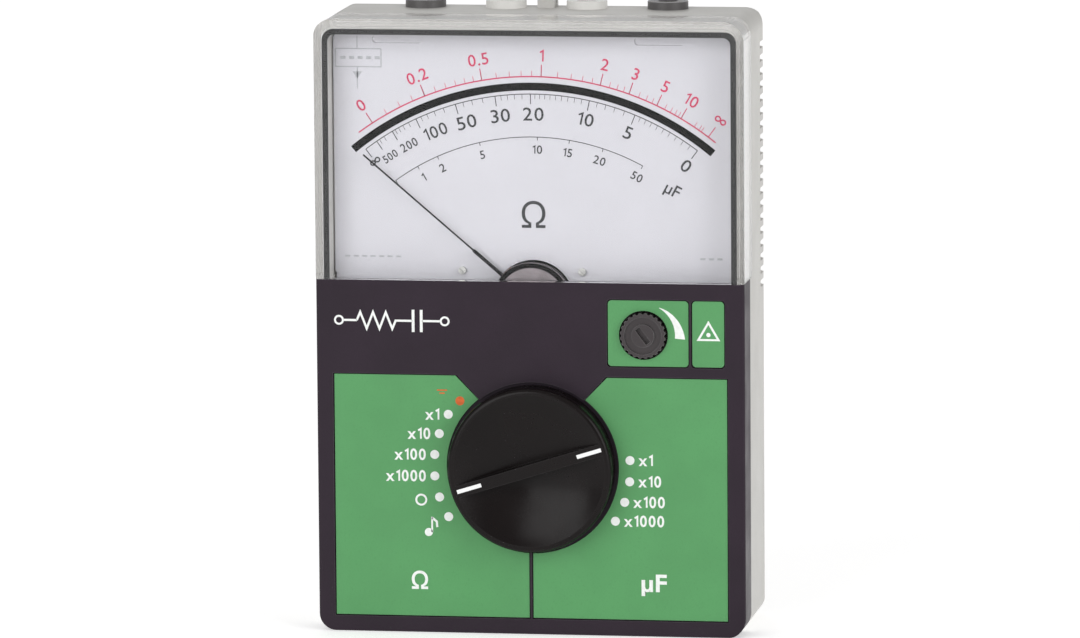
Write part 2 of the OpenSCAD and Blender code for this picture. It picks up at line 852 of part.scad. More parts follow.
module wiper_contacts() {
    track_rs = [5.6, 8.2, 10.8];
    color("gold") facing(selector_x, selector_z, board_near - 0.15) rotate(knob_angle)
        for (r = track_rs, a = [0, 180]) rotate(a) translate([r, 0, 0]) {
            translate([-0.5, -3, 1.8]) cube([1, 4, 0.55]);
            translate([-0.5, 0, 0]) cube([1, 1, 2]);
        }
}

module detent_ball() {
    color("silver") translate([selector_x, face_y + 9.5, selector_z + rotor_r + detent_r + 0.06])
        sphere(r = detent_r);
}

module detent_spring() {
    color("silver") translate([selector_x - 9, face_y + 8.2, selector_z + rotor_r + 2 * detent_r + 0.1])
        cube([18, 2.6, 0.4]);
}

// ---------- adjuster ----------

module adjuster_knob() {
    proud = 1;
    flutes = 24;
    slot_angle = 127;
    color([0.3, 0.24, 0.26]) difference() {
        union() {
            disc(adjuster_x, adjuster_z, -proud, frame_t + 0.2, adjuster_r);
            disc(adjuster_x, adjuster_z, frame_t + 0.2, frame_t + 1, adjuster_r + 1.1);
        }
        for (i = [0:flutes - 1]) facing(adjuster_x, adjuster_z, frame_t + 0.2) rotate(i * 360 / flutes)
            translate([adjuster_r + 0.12, 0, 0]) cylinder(r = 0.45, h = 6, $fn = 16);
        difference() {
            disc(adjuster_x, adjuster_z, -proud - 1, -proud + 0.5, 4.3);
            disc(adjuster_x, adjuster_z, -proud - 2, frame_t, 2.7);
        }
        facing(adjuster_x, adjuster_z, 0) rotate(slot_angle) translate([-2.1, -0.6, proud - 0.9])
            cube([4.2, 1.2, 2]);
        disc(adjuster_x, adjuster_z, 1.2, frame_t + 2, 2 + fit_gap);
    }
}

module adjuster_shaft() {
    color("ivory") disc(adjuster_x, adjuster_z, 1.25, 8.9, 2);
}

module potentiometer_body() {
    color("steelblue") difference() {
        layer(5.4, board_near) translate([adjuster_x, adjuster_z]) round_box(-6.5, -6.5, 6.5, 6.5, 1);
        disc(adjuster_x, adjuster_z, 5, 9.4, 2 + run_gap);
    }
}

// ---------- battery ----------

module battery_tray() {
    color("dimgray") difference() {
        layer(15.7, back_in)
            round_box(-tray_half - 1, battery_low - 1.1, tray_half + 1, battery_high + 1, 0.8);
        layer(16.7, back_in + 1)
            round_box(-tray_half, battery_low - 0.2, tray_half, battery_high + 0.2, 0.4);
    }
}

module battery() {
    color("silver") layer(16.9, back_in - 0.1) round_box(-24.9, battery_low, 20.9, battery_high, 1.5);
    color("gold") for (z = snap_terminals) translate([20.9 - eps, face_y + terminal_d, z])
        rotate([0, 90, 0]) cylinder(r = 2.8, h = 2.2);
}

module battery_snap() {
    color("black") difference() {
        translate([21.2, face_y + 19, 9]) cube([3.6, 12.8, 23.2]);
        for (z = snap_terminals) translate([20, face_y + terminal_d, z]) rotate([0, 90, 0])
            cylinder(r = 2.9, h = 3.4);
    }
}

// Door that swings on two short pins at its upper edge, which is round about the same axis
module battery_door() {
    half_t = door_t / 2;
    outer = hinge_d + half_t;
    ribs = 5;
    rib_pitch = 2.4;
    color("silver") difference() {
        union() {
            translate([-door_half, 0, 0]) rotate([90, 0, 90]) linear_extrude(2 * door_half) {
                translate([face_y + hinge_d, hinge_z]) circle(half_t);
                translate([face_y + hinge_d - half_t, door_low]) square([door_t, hinge_z - door_low]);
            }
            for (side = [-1, 1]) translate([side * (door_half + 0.6), face_y + hinge_d, hinge_z])
                rotate([0, 90, 0]) cylinder(r = hinge_pin_r, h = 2.6, center = true);
        }
        disc(0, door_screw_z, hinge_d - 2, outer + 1, 1.15);
        disc(0, door_screw_z, hinge_d - 0.2, outer + 1, 2.3);
        for (k = [0:ribs - 1]) translate([-9, face_y + outer - 0.4, 13 + rib_pitch * k]) cube([18, 1, 1.1]);
    }
}

module door_screw() {
    color("gray") rear_screw([0, door_screw_z], 33.4, hinge_d - 0.18, hinge_d + door_t / 2 - 0.1, 1, 2.1);
}

rear_cover();
middle_shell();
front_frame();
window_cover();
window_seal();
left_panel();
right_panel();
adjuster_panel();
symbol_panel();
case_screws();
outer_socket_sleeves();
inner_socket_sleeves();
socket_tubes();
socket_nuts();
socket_wires();
dial_plate();
dial_screws();
movement_carrier();
carrier_screws();
yoke_ring();
core_magnet();
core_supports();
front_bridge();
rear_bridge();
jewel_screws();
hairsprings();
coil_former();
coil_winding();
pivots();
pointer_hub();
pointer();
counterweights();
circuit_board();
board_screws();
fuse();
fuse_clips();
buzzer();
integrated_circuits();
resistors();
capacitors();
detent_ball();
detent_spring();
selector_knob();
knob_marks();
selector_shaft();
selector_rotor();
wiper_contacts();
adjuster_knob();
adjuster_shaft();
potentiometer_body();
battery_tray();
battery();
battery_snap();
battery_door();
door_screw();
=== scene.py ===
"""Analog resistance and capacitance meter: finishes, printed graphics, studio and camera.

The nodes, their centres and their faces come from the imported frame, in metres. Places and sizes of
the printing are in millimetres of the same frame and become metres where the meshes are built.
"""

import json
from math import cos, hypot, pi, radians, sin

import bmesh
import bpy
from mathutils import Matrix, Quaternion, Vector


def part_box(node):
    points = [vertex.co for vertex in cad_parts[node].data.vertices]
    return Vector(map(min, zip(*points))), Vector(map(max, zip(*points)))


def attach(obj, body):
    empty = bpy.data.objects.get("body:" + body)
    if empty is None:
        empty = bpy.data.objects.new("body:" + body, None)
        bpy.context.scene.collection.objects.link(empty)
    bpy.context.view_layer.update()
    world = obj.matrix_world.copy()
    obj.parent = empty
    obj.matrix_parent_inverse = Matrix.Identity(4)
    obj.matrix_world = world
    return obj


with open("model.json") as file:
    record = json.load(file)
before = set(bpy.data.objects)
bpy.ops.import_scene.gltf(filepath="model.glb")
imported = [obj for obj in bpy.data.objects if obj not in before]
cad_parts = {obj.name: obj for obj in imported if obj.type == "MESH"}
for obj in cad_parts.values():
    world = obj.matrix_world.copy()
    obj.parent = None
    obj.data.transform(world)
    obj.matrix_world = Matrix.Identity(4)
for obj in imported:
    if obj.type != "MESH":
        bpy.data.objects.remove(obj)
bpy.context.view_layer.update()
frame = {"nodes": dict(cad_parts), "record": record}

MM = 0.001
INK = 0.025 * MM          # thickness of a layer of printing
CAPITAL = 0.69            # height of a capital in the built-in font, as a part of its size


# ---------- node material helpers ----------

def new_material(name):
    """An empty node material, its tree and its output node."""
    material = bpy.data.materials.new(name)
    material.use_nodes = True
    tree = material.node_tree
    tree.nodes.clear()
    output = tree.nodes.new("ShaderNodeOutputMaterial")
    return material, tree, output


def rgba(colour):
    return (*colour, 1.0)


def shaded(colour, factor):
    """The colour made lighter or darker by a factor."""
    return tuple(min(1.0, c * factor) for c in colour)


def noise(tree, size_mm, detail=3.0, stretch=(1, 1, 1)):
    """Noise in the row frame whose features are about size_mm wide."""
    place = tree.nodes.new("ShaderNodeTexCoord")
    mapping = tree.nodes.new("ShaderNodeMapping")
    mapping.inputs["Scale"].default_value = stretch
    texture = tree.nodes.new("ShaderNodeTexNoise")
    texture.inputs["Scale"].default_value = 1 / (size_mm * MM)
    texture.inputs["Detail"].default_value = detail
    tree.links.new(place.outputs["Object"], mapping.inputs["Vector"])
    tree.links.new(mapping.outputs["Vector"], texture.inputs["Vector"])
    return texture.outputs["Fac"]


def ranged(tree, value, low, high, to_low, to_high):
    """value from low..high mapped to to_low..to_high, and held there."""
    node = tree.nodes.new("ShaderNodeMapRange")
    tree.links.new(value, node.inputs["Value"])
    for key, number in (("From Min", low), ("From Max", high), ("To Min", to_low), ("To Max", to_high)):
        node.inputs[key].default_value = number
    return node.outputs["Result"]


def mixed(tree, factor, first, second):
    """Colour mix; first and second are colours or sockets."""
    node = tree.nodes.new("ShaderNodeMix")
    node.data_type = "RGBA"
    tree.links.new(factor, node.inputs["Factor"])
    for key, value in (("A", first), ("B", second)):
        if isinstance(value, bpy.types.NodeSocket):
            tree.links.new(value, node.inputs[key])
        else:
            node.inputs[key].default_value = rgba(value)
    return node.outputs["Result"]


def product(tree, first, second):
    """first times second; both are numbers or sockets."""
    node = tree.nodes.new("ShaderNodeMath")
    node.operation = "MULTIPLY"
    for socket, value in zip(node.inputs, (first, second)):
        if isinstance(value, bpy.types.NodeSocket):
            tree.links.new(value, socket)
        else:
            socket.default_value = value
    return node.outputs[0]


def edge_wear(tree, radius_mm):
    """1 along convex and concave edges, 0 on flat faces."""
    bevel = tree.nodes.new("ShaderNodeBevel")
    bevel.samples = 4
    bevel.inputs["Radius"].default_value = radius_mm * MM
    geometry = tree.nodes.new("ShaderNodeNewGeometry")
    dot = tree.nodes.new("ShaderNodeVectorMath")
    dot.operation = "DOT_PRODUCT"
    tree.links.new(bevel.outputs["Normal"], dot.inputs[0])
    tree.links.new(geometry.outputs["Normal"], dot.inputs[1])
    return ranged(tree, dot.outputs["Value"], 0.99, 0.80, 0.0, 1.0)


def bumped(tree, shader, heights):
    """Adds up bumps on a shader; heights are pairs of a height socket and a depth in mm."""
    normal = None
    for height, depth_mm in heights:
        bump = tree.nodes.new("ShaderNodeBump")
        bump.inputs["Distance"].default_value = depth_mm * MM
        tree.links.new(height, bump.inputs["Height"])
        if normal is not None:
            tree.links.new(normal, bump.inputs["Normal"])
        normal = bump.outputs["Normal"]
    tree.links.new(normal, shader.inputs["Normal"])


def plastic(name, colour, rough, grain=0.35, depth=0.02, cloud=0.05, wear=0.0, shine=0.5):
    """Moulded plastic: faint clouds of colour, moulded grain, uneven gloss and rubbed edges.

    grain and depth are the width and depth of the grain in mm, cloud is how far the colour drifts,
    wear is how much the edges are rubbed, and shine is the strength of the reflections.
    """
    material, tree, output = new_material(name)
    shader = tree.nodes.new("ShaderNodeBsdfPrincipled")
    clouds = ranged(tree, noise(tree, 14), 0.35, 0.65, 0, 1)
    base = mixed(tree, clouds, shaded(colour, 1 - cloud), shaded(colour, 1 + cloud))
    speck = ranged(tree, noise(tree, 0.5, 1.0), 0.56, 0.72, 0, 0.35)
    base = mixed(tree, speck, base, shaded(colour, 0.86))
    if wear:
        patches = ranged(tree, noise(tree, 3), 0.3, 0.7, 0.3, 1)
        rubbed = product(tree, edge_wear(tree, 0.35), patches)
        rubbed_colour = tuple(c * 0.6 + 0.22 for c in colour)
        base = mixed(tree, product(tree, rubbed, wear), base, rubbed_colour)
    tree.links.new(base, shader.inputs["Base Color"])
    smudge = ranged(tree, noise(tree, 9, 4.0), 0.3, 0.7, rough - 0.07, rough + 0.07)
    tree.links.new(smudge, shader.inputs["Roughness"])
    shader.inputs["Specular IOR Level"].default_value = shine
    bumped(tree, shader, [(noise(tree, grain, 2.0), depth), (noise(tree, 22, 1.0), 0.05)])
    tree.links.new(shader.outputs[0], output.inputs["Surface"])
    return material


def metal(name, colour, rough, brush=(1, 1, 1)):
    """Bare metal: fine lines, clouded tarnish and uneven gloss.

    brush packs the lines closer along an axis, which makes them run across it.
    """
    material, tree, output = new_material(name)
    shader = tree.nodes.new("ShaderNodeBsdfPrincipled")
    shader.inputs["Metallic"].default_value = 1.0
    clouds = ranged(tree, noise(tree, 2.2, 4.0), 0.35, 0.7, 0, 1)
    tarnished = shaded(colour, 0.75)
    base = mixed(tree, clouds, colour, tarnished)
    tree.links.new(base, shader.inputs["Base Color"])
    lines = noise(tree, 0.25, 2.0, brush)
    tree.links.new(ranged(tree, lines, 0.3, 0.7, rough - 0.08, rough + 0.1), shader.inputs["Roughness"])
    bumped(tree, shader, [(lines, 0.006)])
    tree.links.new(shader.outputs[0], output.inputs["Surface"])
    return material


def clear(name):
    """Clear acrylic with a faint tint and hairline scratches in its gloss.

    Lamps shine through it almost unshaded, so that the dial behind it is lit evenly. Its low
    refraction keeps reflections weak and the black printing behind it black.
    """
    tint = (0.97, 0.97, 0.975)
    material, tree, output = new_material(name)
    shader = tree.nodes.new("ShaderNodeBsdfPrincipled")
    shader.inputs["Base Color"].default_value = rgba(tint)
    shader.inputs["Transmission Weight"].default_value = 1.0
    shader.inputs["IOR"].default_value = 1.22
    scratches = noise(tree, 1.2, 5.0, (1, 1, 9))
    tree.links.new(ranged(tree, scratches, 0.5, 0.8, 0.01, 0.07), shader.inputs["Roughness"])
    bumped(tree, shader, [(noise(tree, 30, 1.0), 0.03)])
    through = tree.nodes.new("ShaderNodeBsdfTransparent")
    through.inputs["Color"].default_value = rgba(tint)
    path = tree.nodes.new("ShaderNodeLightPath")
    mix = tree.nodes.new("ShaderNodeMixShader")
    tree.links.new(path.outputs["Is Shadow Ray"], mix.inputs["Fac"])
    tree.links.new(shader.outputs[0], mix.inputs[1])
    tree.links.new(through.outputs[0], mix.inputs[2])
    tree.links.new(mix.outputs[0], output.inputs["Surface"])
    return material


def ink(name, colour, rough=0.5, cover=0.12, shine=0.25):
    """Screen-printed ink: slightly uneven cover and a fine edge texture."""
    material, tree, output = new_material(name)
    shader = tree.nodes.new("ShaderNodeBsdfPrincipled")
    uneven = ranged(tree, noise(tree, 0.8, 4.0), 0.35, 0.7, 0, 1)
    base = mixed(tree, uneven, shaded(colour, 1 + cover), shaded(colour, 1 - cover))
    tree.links.new(base, shader.inputs["Base Color"])
    gloss = ranged(tree, noise(tree, 2), 0.3, 0.7, rough - 0.08, rough + 0.08)
    tree.links.new(gloss, shader.inputs["Roughness"])
    shader.inputs["Specular IOR Level"].default_value = shine
    bumped(tree, shader, [(noise(tree, 0.3), 0.01)])
    tree.links.new(shader.outputs[0], output.inputs["Surface"])
    return material


def battery_can(name):
    """Battery sleeve: dark foil with a copper-coloured band at the terminal end."""
    foil = (0.03, 0.03, 0.035)
    copper = (0.62, 0.33, 0.16)
    band_width = 17 * MM
    band_edge = 0.2 * MM
    material, tree, output = new_material(name)
    shader = tree.nodes.new("ShaderNodeBsdfPrincipled")
    place = tree.nodes.new("ShaderNodeTexCoord")
    split = tree.nodes.new("ShaderNodeSeparateXYZ")
    tree.links.new(place.outputs["Object"], split.inputs[0])
    band_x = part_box("battery")[1].x - band_width
    band = ranged(tree, split.outputs["X"], band_x, band_x + band_edge, 0, 1)
    base = mixed(tree, band, foil, copper)
    scuffed = ranged(tree, noise(tree, 3, 5.0), 0.6, 0.75, 0, 0.5)
    tree.links.new(mixed(tree, scuffed, base, (0.35, 0.34, 0.33)), shader.inputs["Base Color"])
    tree.links.new(ranged(tree, noise(tree, 5), 0.3, 0.7, 0.25, 0.42), shader.inputs["Roughness"])
    shader.inputs["Metallic"].default_value = 0.6
    bumped(tree, shader, [(noise(tree, 1.5), 0.02)])
    tree.links.new(shader.outputs[0], output.inputs["Surface"])
    return material


# ---------- finishes of the record's material slots ----------

PLASTICS = {
    "case_grey": ((0.56, 0.55, 0.525), 0.5, dict(grain=0.4, depth=0.03, cloud=0.03, wear=0.4)),
    "frame_dark": ((0.021, 0.012, 0.021), 0.42, dict(grain=0.3, cloud=0.08, wear=0.25, shine=0.22)),
    "panel_green": (
        (0.085, 0.30, 0.105), 0.5, dict(grain=0.3, depth=0.015, cloud=0.04, wear=0.2, shine=0.4)
    ),
    "knob_black": (
        (0.006, 0.004, 0.004), 0.24, dict(grain=0.5, depth=0.008, cloud=0.15, wear=0.12, shine=0.17)
    ),
    "mark_white": ((0.86, 0.86, 0.86), 0.4, dict(grain=0.3, depth=0.008, cloud=0.03)),
    "adjuster_dark": (
        (0.035, 0.028, 0.03), 0.38, dict(grain=0.3, depth=0.012, cloud=0.1, wear=0.5, shine=0.4)
    ),
    "sleeve_grey": ((0.10, 0.095, 0.095), 0.4, dict(grain=0.3, depth=0.012, cloud=0.08, wear=0.3)),
    "sleeve_white": ((0.80, 0.79, 0.76), 0.4, dict(grain=0.3, depth=0.012, cloud=0.03, wear=0.2)),
    "dial_white": ((0.60, 0.595, 0.63), 0.6, dict(grain=0.6, depth=0.006, cloud=0.012, shine=0.3)),
    "carrier_plastic": ((0.022, 0.022, 0.025), 0.5, {}),
    "tan_plastic": ((0.42, 0.27, 0.14), 0.5, {}),
    "natural_plastic": ((0.74, 0.70, 0.60), 0.4, {}),
    # The window seal is near black so that it also draws the shadow gap round the window: painted shade on
    # a real seal.
    "seal_black": ((0.016, 0.016, 0.016), 0.7, dict(grain=0.25, depth=0.03, cloud=0.15)),
    "part_black": ((0.02, 0.02, 0.02), 0.45, {}),
    "board_green": ((0.02, 0.13, 0.05), 0.35, dict(grain=0.5, depth=0.01, cloud=0.12)),
    "wire_insulation": ((0.45, 0.03, 0.02), 0.4, {}),
    "capacitor_blue": ((0.03, 0.06, 0.25), 0.35, {}),
    "fuse_ceramic": ((0.78, 0.76, 0.70), 0.3, dict(grain=0.6, depth=0.01)),
}

METALS = {
    "bridge_grey": ((0.30, 0.27, 0.28), 0.5, (1, 1, 6)),
    "bridge_alloy": ((0.70, 0.70, 0.68), 0.4),
    "soft_iron": ((0.40, 0.40, 0.42), 0.45),
    "magnet_alloy": ((0.34, 0.34, 0.35), 0.55),
    "bronze_spring": ((0.75, 0.45, 0.22), 0.3),
    "former_aluminium": ((0.78, 0.78, 0.78), 0.35),
    "copper_wire": ((0.72, 0.33, 0.16), 0.35, (1, 1, 8)),
    "contact_brass": ((0.80, 0.60, 0.28), 0.28, (1, 1, 5)),
    "screw_steel": ((0.62, 0.62, 0.60), 0.32, (6, 1, 1)),
    "screw_dark": ((0.16, 0.15, 0.16), 0.4, (6, 1, 1)),
}

FINISHES = {
    "clear_plastic": clear("clear_plastic"),
    "pointer_black": ink("pointer_black", (0.012, 0.012, 0.013), 0.4),
    "battery_steel": battery_can("battery_steel"),
}
for name, (colour, rough, changes) in PLASTICS.items():
    FINISHES[name] = plastic(name, colour, rough, **changes)
for name, look in METALS.items():
    FINISHES[name] = metal(name, *look)

SLOTS = {part["node"]: part["material_slot"] for part in frame["record"]["subparts"]}
for name, node in frame["nodes"].items():
    node.data.materials.clear()
    node.data.materials.append(FINISHES[SLOTS[name]])


# ---------- places taken from the frame, in millimetres ----------

def middle(node_name):
    """Centre of a node's box across the front, as (x, z) in millimetres."""
    low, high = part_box(node_name)
    return ((low.x + high.x) / 2 / MM, (low.z + high.z) / 2 / MM)


def front(node_name):
    """Depth of a node's front face, in millimetres."""
    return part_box(node_name)[0].y / MM


PIVOT = middle("core_magnet")
SELECTOR = middle("selector_shaft")
ADJUSTER = middle("adjuster_shaft")
FRAME_FACE = front("front_frame")
PANEL_FACE = front("left_panel")
DIAL_FACE = front("dial_plate")
ARC_CENTRE = (0.0, PIVOT[1] - 16.4)   # the printed scales are struck from below the pivot


# ---------- printing ----------

def polar(centre, radius, angle):
    """Point at an angle in degrees, counter-clockwise from +X, about a centre."""
    return (centre[0] + radius * cos(radians(angle)), centre[1] + radius * sin(radians(angle)))


def circle(centre, radius, count):
    """Evenly spaced points of a circle."""
    return [polar(centre, radius, 360 * i / count) for i in range(count)]


def letter(character, size, weight):
    """Mesh of one character standing on the X axis from x = 0, and its width."""
    curve = bpy.data.curves.new("letter", "FONT")
    curve.body = character
    curve.resolution_u = 3
    curve.size = size / CAPITAL * MM
    curve.offset = weight * MM
    curve.extrude = INK / 2
    holder = bpy.data.objects.new("letter", curve)
    bpy.context.scene.collection.objects.link(holder)
    graph = bpy.context.evaluated_depsgraph_get()
    mesh = bpy.data.meshes.new_from_object(holder.evaluated_get(graph))
    bpy.data.objects.remove(holder)
    bpy.data.curves.remove(curve)
    return at_origin(mesh)


def figure_one(size, weight):
    """A 1 with a flag, in the strokes of the other figures."""
    stroke = 0.11 * size + 2 * weight
    sheet = Print(0)
    top = size - stroke / 2
    sheet.line([(0, size * 0.76), (size * 0.27, top), (size * 0.27, 0)], stroke)
    mesh = bpy.data.meshes.new("one")
    sheet.mesh.to_mesh(mesh)
    sheet.mesh.free()
    mesh.transform(Matrix.Rotation(-pi / 2, 4, "X") @ Matrix.Translation((0, INK / 2, 0)))
    return at_origin(mesh)


def at_origin(mesh):
    """The mesh moved so that it starts at x = 0, and its width."""
    places = [vertex.co.x for vertex in mesh.vertices]
    mesh.transform(Matrix.Translation((-min(places), 0, 0)))
    return mesh, max(places) - min(places)


class Print:
    """Flat shapes on one plane that faces the reader, gathered into one closed mesh."""

    def __init__(self, plane):
        self.mesh = bmesh.new()
        self.plane = plane * MM

    def strip(self, first, second, closed=False):
        """Solid band between two lines with the same number of points."""
        levels = (self.plane - INK, self.plane)
        rings = []
        for line in (first, second):
            rings.append([[self.mesh.verts.new((x * MM, y, z * MM)) for x, z in line] for y in levels])
        count = len(first)
        for i in range(count if closed else count - 1):
            j = (i + 1) % count
            corners = [rings[0][0], rings[1][0], rings[1][1], rings[0][1]]
            for a, b in zip(corners, corners[1:] + corners[:1]):
                self.mesh.faces.new((a[i], b[i], b[j], a[j]))
        if not closed:
            for i in (0, count - 1):
                self.mesh.faces.new((rings[0][0][i], rings[1][0][i], rings[1][1][i], rings[0][1][i]))

    def arc(self, centre, inner, outer, start, end, step=1.0):
        """Arc; inner and outer are radii, or functions of the angle."""
        count = max(2, round(abs(end - start) / step) + 1)
        angles = [start + (end - start) * i / (count - 1) for i in range(count)]
        lines = []
        for radius in (inner, outer):
            size = radius if callable(radius) else (lambda angle, r=radius: r)
            lines.append([polar(centre, size(a), a) for a in angles])
        self.strip(lines[0], lines[1])

    def ring(self, centre, inner, outer):
        self.strip(circle(centre, inner, 40), circle(centre, outer, 40), closed=True)

    def dot(self, centre, radius):
        self.shape(circle(centre, radius, 32))

    def shape(self, loop):
        """Solid plate with a convex outline."""
        near = [self.mesh.verts.new((x * MM, self.plane - INK, z * MM)) for x, z in loop]
        far = [self.mesh.verts.new((x * MM, self.plane, z * MM)) for x, z in loop]
        self.mesh.faces.new(near)
        self.mesh.faces.new(list(reversed(far)))
        for i in range(len(loop)):
            j = (i + 1) % len(loop)
            self.mesh.faces.new((near[j], near[i], far[i], far[j]))

    def line(self, points, width):
        """Line of one width through the points, with mitred corners."""
        left, right = [], []
        for i, (x, z) in enumerate(points):
            before = points[max(i - 1, 0)]
            after = points[min(i + 1, len(points) - 1)]
            headings = []
            for a, b in ((before, (x, z)), ((x, z), after)):
                length = hypot(b[0] - a[0], b[1] - a[1])
                if length > 0:
                    headings.append(((b[0] - a[0]) / length, (b[1] - a[1]) / length))
            dx = sum(h[0] for h in headings) / len(headings)
            dz = sum(h[1] for h in headings) / len(headings)
            scale = width / 2 / (dx * dx + dz * dz)
            left.append((x - dz * scale, z + dx * scale))
            right.append((x + dz * scale, z - dx * scale))
        self.strip(left, right)

    def text(self, words, place, size, turn=0.0, align=0.5, width=1.0, weight=0.03):
        """Words with capitals size mm high, turned in degrees about a place.

        align is the part of the line that lies left of the place, and weight thickens the strokes.
        """
        letters = [figure_one(size, weight) if c == "1" else letter(c, size, weight) for c in words]
        gap = 0.16 * size * MM
        line = sum(run for _, run in letters) + gap * (len(letters) - 1)
        cursor = -line * align
        upright = Matrix.Rotation(pi / 2, 4, "X")
        spun = Matrix.Rotation(radians(turn), 4, "Z") @ Matrix.Diagonal((width, 1, 1, 1))
        spot = Matrix.Translation((place[0] * MM, self.plane - INK / 2, place[1] * MM))
        for mesh, run in letters:
            mesh.transform(spot @ upright @ spun @ Matrix.Translation((cursor, -size / 2 * MM, 0)))
            self.mesh.from_mesh(mesh)
            bpy.data.meshes.remove(mesh)
            cursor += run + gap

    def piece(self, name, material, slot):
        """Makes the printing one piece that rides with the case."""
        bmesh.ops.recalc_face_normals(self.mesh, faces=self.mesh.faces)
        mesh = bpy.data.meshes.new(name)
        self.mesh.to_mesh(mesh)
        self.mesh.free()
        mesh.materials.append(material)
        piece = bpy.data.objects.new(name, mesh)
        bpy.context.scene.collection.objects.link(piece)
        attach(piece, "case")


INK_BLACK = ink("ink_black", (0.004, 0.004, 0.004), 0.6, shine=0.1)
INK_GREY = ink("ink_grey", (0.045, 0.047, 0.05), 0.6)
INK_PALE = ink("ink_pale", (0.40, 0.41, 0.43))
INK_RED = ink("ink_red", (0.56, 0.05, 0.12))
INK_WHITE = ink("ink_white", (0.82, 0.84, 0.82), 0.45, 0.05)
INK_ORANGE = ink("ink_orange", (0.62, 0.13, 0.03))


def scale_values(*stretches):
    """Values of a scale's divisions from (start, end, step) stretches."""
    values = []
    for start, end, step in stretches:
        values += [start + step * i for i in range(round((end - start) / step))]
    return values


def ohm_angle(value):
    """Angle of a resistance; the scale's middle is at 20."""
    return 53.4 + 74.0 * value / (value + 20.0)


def leak_angle(value):
    """Angle of a value of the red scale, whose middle is at 1."""
    return 123.2 - 69.9 * value / (value + 1.0)


def ticks(sheet, values, angle_of, inner, outer, width):
    """Radial marks of a dial scale, from an inner to an outer radius."""
    for value in values:
        angle = angle_of(value)
        sheet.line([polar(ARC_CENTRE, inner, angle), polar(ARC_CENTRE, outer, angle)], width)


def labels(sheet, values, angle_of, radius, size, width=1.0, weight=0.03, beside=0.0):
    """Numbers under their marks, or some degrees clockwise beside them."""
    for value in values:
        angle = angle_of(value) - beside
        sheet.text(f"{value:g}", polar(ARC_CENTRE, radius, angle), size, angle - 90, 0.5, width, weight)


def print_ohm_scale():
    """The heavy arc, the resistance scale under it and the unit sign below."""
    band = Print(DIAL_FACE)
    band.arc(ARC_CENTRE, 65.2, 67.0, 50.6, 129.4)
    band.piece("dial_band", INK_BLACK, "pointer_black")

    line_r = 64.35
    number_r = 59.7
    endless = 1e6
    marked = (0, 5, 10, 20, 30, 50, 100, 200, 500, endless)
    divisions = scale_values((0, 5, 0.5), (5, 10, 1), (10, 20, 1), (20, 30, 2), (30, 50, 5), (50, 100, 10),
                             (100, 200, 20), (200, 500, 100))
    scale = Print(DIAL_FACE)
    scale.arc(ARC_CENTRE, line_r - 0.1, line_r + 0.1, ohm_angle(0), ohm_angle(endless))
    ticks(scale, marked, ohm_angle, 62.0, line_r, 0.2)
    ticks(scale, divisions, ohm_angle, 63.2, line_r, 0.12)
    labels(scale, (0, 5, 10), ohm_angle, number_r + 0.2, 2.9, 1.1)
    labels(scale, (20, 30), ohm_angle, number_r, 3.0, 1.1, beside=0.6)
    labels(scale, (50,), ohm_angle, number_r, 3.0, 1.1, beside=1.3)
    labels(scale, (100,), ohm_angle, number_r + 0.2, 2.8, beside=2.8)
    labels(scale, (200,), ohm_angle, number_r, 2.0, 0.9, beside=1.7)
    labels(scale, (500,), ohm_angle, number_r, 1.8, 0.9, beside=0.6)
    last = ohm_angle(endless)
    scale.text("∞", polar(ARC_CENTRE, number_r + 1.2, last), 2.2, last - 90)
    scale.text("Ω", (0.1, 97.1), 5.9, weight=0)
    scale.piece("dial_ohm_scale", INK_GREY, "pointer_black")


def print_farad_scale():
    """The small capacitance scale, whose marks stand at listed angles."""
    line_r = 54.4
    angles = {0: 126.2, 1: 119.7, 2: 114.2, 5: 103.2, 10: 88.8, 15: 80.9, 20: 72.4, 50: 61.9}
    scale = Print(DIAL_FACE)
    scale.arc(ARC_CENTRE, line_r - 0.1, line_r + 0.08, angles[50], angles[0])
    ticks(scale, angles, angles.get, 53.6, line_r, 0.16)
    labels(scale, list(angles)[1:], angles.get, 51.5, 1.9)
    scale.text("µF", (32.6, 103.4), 2.8, angles[50] - 90)
    scale.piece("dial_farad_scale", INK_GREY, "pointer_black")


def print_leak_scale():
    """The red scale above the heavy arc."""
    line_r = 68.4
    number_r = 73.3
    endless = 1e6
    marked = (0, 0.2, 0.5, 1, 2, 3, 5, 10)
    divisions = scale_values((0, 0.5, 0.05), (0.5, 1, 0.1), (1, 2, 0.2), (2, 3, 0.25), (3, 5, 0.5),
                             (5, 10, 1), (10, 50, 10))
    scale = Print(DIAL_FACE)
    scale.arc(ARC_CENTRE, line_r - 0.15, line_r + 0.15, 126.5, 51.5)
    ticks(scale, marked + (endless,), leak_angle, line_r, 71.2, 0.22)
    ticks(scale, divisions, leak_angle, line_r, 69.7, 0.13)
    labels(scale, marked, leak_angle, number_r, 2.7)
    last = leak_angle(endless)
    scale.text("∞", polar(ARC_CENTRE, number_r, last), 2.4, last - 90)
    scale.piece("dial_red_scale", INK_RED, "pointer_black")


